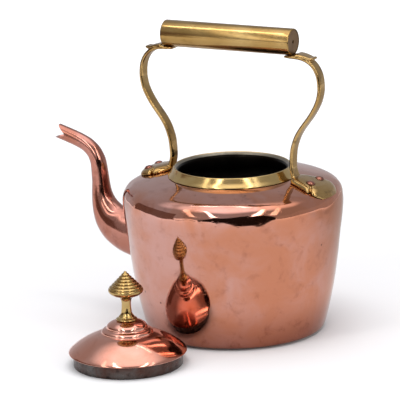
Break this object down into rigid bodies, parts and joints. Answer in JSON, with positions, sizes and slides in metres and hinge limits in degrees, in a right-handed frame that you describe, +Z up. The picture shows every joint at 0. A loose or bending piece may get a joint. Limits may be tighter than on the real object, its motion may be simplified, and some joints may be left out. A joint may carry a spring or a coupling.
{
  "type": "copper kettle",
  "caption": "Round copper kettle with swan-neck spout, brass collar, S-shaped brass handle with a tube grip, and a loose domed lid with a ridged brass knob.",
  "frame": {"origin": "centre of the underside of the kettle's flat base, on the surface it stands on", "axes": "+Z up, -X along the spout, and the handle stands in the XZ plane; the loose lid lies on the same surface towards -Y"},
  "size_m": [0.3132, 0.3234, 0.3101],
  "materials": {
    "copper": "polished copper, tarnished in patches",
    "rivet_copper": "dull copper",
    "brass": "polished cast brass with dark recesses",
    "tinned_copper": "worn grey tin over copper"
  },
  "bodies": {
    "kettle": {"body_shell": "copper", "base_plate": "copper", "spout": "copper", "collar": "brass", "handle_upright_left": "brass", "handle_upright_right": "brass", "grip_tube": "brass", "grip_cap_left": "brass", "grip_cap_right": "brass", "grip_rivet_left": "rivet_copper", "grip_rivet_right": "rivet_copper", "lug_rivet_left_front": "rivet_copper", "lug_rivet_left_rear": "rivet_copper", "lug_rivet_right_front": "rivet_copper", "lug_rivet_right_rear": "rivet_copper", "lug_washer_left_front": "rivet_copper", "lug_washer_left_rear": "rivet_copper", "lug_washer_right_front": "rivet_copper", "lug_washer_right_rear": "rivet_copper"},
    "lid": {"lid_dome": "copper", "lid_rim": "tinned_copper", "lid_knob": "brass", "lid_washer": "brass"}
  },
  "joints": [
    {"name": "lid_lift", "type": "slide", "parent": "kettle", "child": "lid", "axis": [0, -0.342, 0.9397], "range_m": [0, 0.2]}
  ]
}
